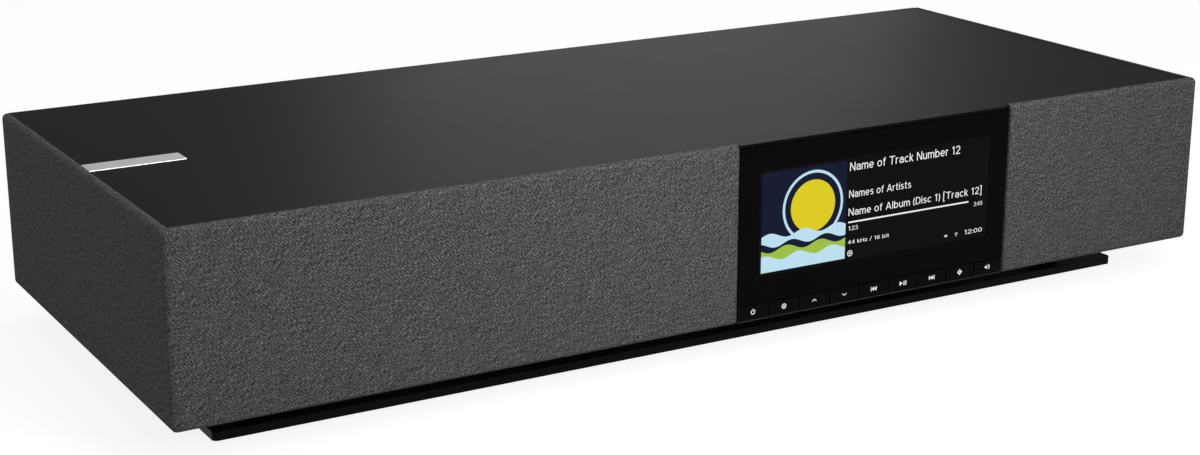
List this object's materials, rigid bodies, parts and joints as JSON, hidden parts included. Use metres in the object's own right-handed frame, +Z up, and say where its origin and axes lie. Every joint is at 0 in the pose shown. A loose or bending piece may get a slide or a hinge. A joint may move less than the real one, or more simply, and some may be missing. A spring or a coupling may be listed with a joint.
{
  "type": "all-in-one stereo system",
  "caption": "Low fabric-clad cabinet on a base plate, with a glass screen console, a row of keys, stereo speakers behind the fabric and a subwoofer that fires down.",
  "frame": {"origin": "on the floor, under the middle of the cabinet", "axes": "+X to the right along the width, +Y to the back, +Z up; the console faces -Y"},
  "size_m": [0.66, 0.275, 0.125],
  "materials": {
    "board_wood": "black-stained fibreboard",
    "back_black": "fine-textured black",
    "frame_plastic": "moulded, matt black",
    "cloth": "charcoal melange twill, stretched",
    "top_metal": "satin dark grey coating on aluminium",
    "badge_metal": "fine-brushed, bare",
    "carrier_plastic": "moulded, matt black",
    "front_glass": "polished, black-printed round the screen",
    "screen": "lit liquid-crystal panel",
    "ribbon": "amber film",
    "circuit_board": "green solder mask with mounted components",
    "switch_plastic": "moulded",
    "key_plastic": "satin black with a printed picture",
    "basket_metal": "black-coated steel",
    "motor_metal": "dark ferrite and zinc-plated steel",
    "cone_paper": "black pressed pulp",
    "suspension_rubber": "soft black",
    "tweeter_plastic": "moulded, matt black",
    "dome_silk": "thin drawn dome",
    "connector_metal": "black-coated steel",
    "inlet_plastic": "moulded black, with plated pins",
    "jack_metal": "gold-plated",
    "network_metal": "tinned shield",
    "base_metal": "satin black coating",
    "spacer_metal": "black-anodised",
    "foot_rubber": "soft black",
    "screw_steel": "black-zinc-plated"
  },
  "bodies": {
    "cabinet": {"cabinet_floor": "board_wood", "left_side_board": "board_wood", "right_side_board": "board_wood", "baffle_left": "board_wood", "baffle_right": "board_wood", "back_panel": "back_black", "divider_left": "board_wood", "divider_middle": "board_wood", "divider_right": "board_wood", "grille_frame_left": "frame_plastic", "grille_cloth_left": "cloth", "grille_frame_right": "frame_plastic", "grille_cloth_right": "cloth", "top_plate": "top_metal", "badge": "badge_metal", "console_carrier": "carrier_plastic", "front_glass": "front_glass", "screen_panel": "screen", "screen_ribbon": "ribbon", "key_board": "circuit_board", "key_switches": "switch_plastic", "woofer_left_basket": "basket_metal", "woofer_left_motor": "motor_metal", "woofer_left_suspension": "suspension_rubber", "woofer_right_basket": "basket_metal", "woofer_right_motor": "motor_metal", "woofer_right_suspension": "suspension_rubber", "subwoofer_basket": "basket_metal", "subwoofer_motor": "motor_metal", "subwoofer_suspension": "suspension_rubber", "tweeter_left": "tweeter_plastic", "tweeter_right": "tweeter_plastic", "main_board": "circuit_board", "amplifier_board": "circuit_board", "power_supply": "circuit_board", "connector_plate": "connector_metal", "mains_inlet": "inlet_plastic", "line_jacks": "jack_metal", "network_jack": "network_metal", "base_plate": "base_metal", "base_spacers": "spacer_metal", "rubber_feet": "foot_rubber", "base_screws": "screw_steel", "driver_screws": "screw_steel", "back_screws": "screw_steel"},
    "key_power": {"key_power": "key_plastic"},
    "key_source": {"key_source": "key_plastic"},
    "key_up": {"key_up": "key_plastic"},
    "key_down": {"key_down": "key_plastic"},
    "key_previous": {"key_previous": "key_plastic"},
    "key_play": {"key_play": "key_plastic"},
    "key_next": {"key_next": "key_plastic"},
    "key_menu": {"key_menu": "key_plastic"},
    "key_volume": {"key_volume": "key_plastic"},
    "woofer_left_cone": {"woofer_left_cone": "cone_paper"},
    "woofer_right_cone": {"woofer_right_cone": "cone_paper"},
    "subwoofer_cone": {"subwoofer_cone": "cone_paper"},
    "tweeter_left_dome": {"tweeter_left_dome": "dome_silk"},
    "tweeter_right_dome": {"tweeter_right_dome": "dome_silk"}
  },
  "joints": [
    {"name": "key_power_press", "type": "slide", "parent": "cabinet", "child": "key_power", "axis": [0, 1, 0], "range_m": [0, 0.0006], "stiffness_N_per_m": 2500},
    {"name": "key_source_press", "type": "slide", "parent": "cabinet", "child": "key_source", "axis": [0, 1, 0], "range_m": [0, 0.0006], "stiffness_N_per_m": 2500},
    {"name": "key_up_press", "type": "slide", "parent": "cabinet", "child": "key_up", "axis": [0, 1, 0], "range_m": [0, 0.0006], "stiffness_N_per_m": 2500},
    {"name": "key_down_press", "type": "slide", "parent": "cabinet", "child": "key_down", "axis": [0, 1, 0], "range_m": [0, 0.0006], "stiffness_N_per_m": 2500},
    {"name": "key_previous_press", "type": "slide", "parent": "cabinet", "child": "key_previous", "axis": [0, 1, 0], "range_m": [0, 0.0006], "stiffness_N_per_m": 2500},
    {"name": "key_play_press", "type": "slide", "parent": "cabinet", "child": "key_play", "axis": [0, 1, 0], "range_m": [0, 0.0006], "stiffness_N_per_m": 2500},
    {"name": "key_next_press", "type": "slide", "parent": "cabinet", "child": "key_next", "axis": [0, 1, 0], "range_m": [0, 0.0006], "stiffness_N_per_m": 2500},
    {"name": "key_menu_press", "type": "slide", "parent": "cabinet", "child": "key_menu", "axis": [0, 1, 0], "range_m": [0, 0.0006], "stiffness_N_per_m": 2500},
    {"name": "key_volume_press", "type": "slide", "parent": "cabinet", "child": "key_volume", "axis": [0, 1, 0], "range_m": [0, 0.0006], "stiffness_N_per_m": 2500},
    {"name": "woofer_left_cone_stroke", "type": "slide", "parent": "cabinet", "child": "woofer_left_cone", "axis": [0, -1, 0], "range_m": [-0.0025, 0.0025], "stiffness_N_per_m": 1500, "deforming": ["woofer_left_suspension"]},
    {"name": "woofer_right_cone_stroke", "type": "slide", "parent": "cabinet", "child": "woofer_right_cone", "axis": [0, -1, 0], "range_m": [-0.0025, 0.0025], "stiffness_N_per_m": 1500, "deforming": ["woofer_right_suspension"]},
    {"name": "subwoofer_cone_stroke", "type": "slide", "parent": "cabinet", "child": "subwoofer_cone", "axis": [0, 0, -1], "range_m": [-0.0035, 0.0035], "stiffness_N_per_m": 1500, "deforming": ["subwoofer_suspension"]},
    {"name": "tweeter_left_dome_stroke", "type": "slide", "parent": "cabinet", "child": "tweeter_left_dome", "axis": [0, -1, 0], "range_m": [-0.0003, 0.0003], "stiffness_N_per_m": 4000},
    {"name": "tweeter_right_dome_stroke", "type": "slide", "parent": "cabinet", "child": "tweeter_right_dome", "axis": [0, -1, 0], "range_m": [-0.0003, 0.0003], "stiffness_N_per_m": 4000}
  ]
}
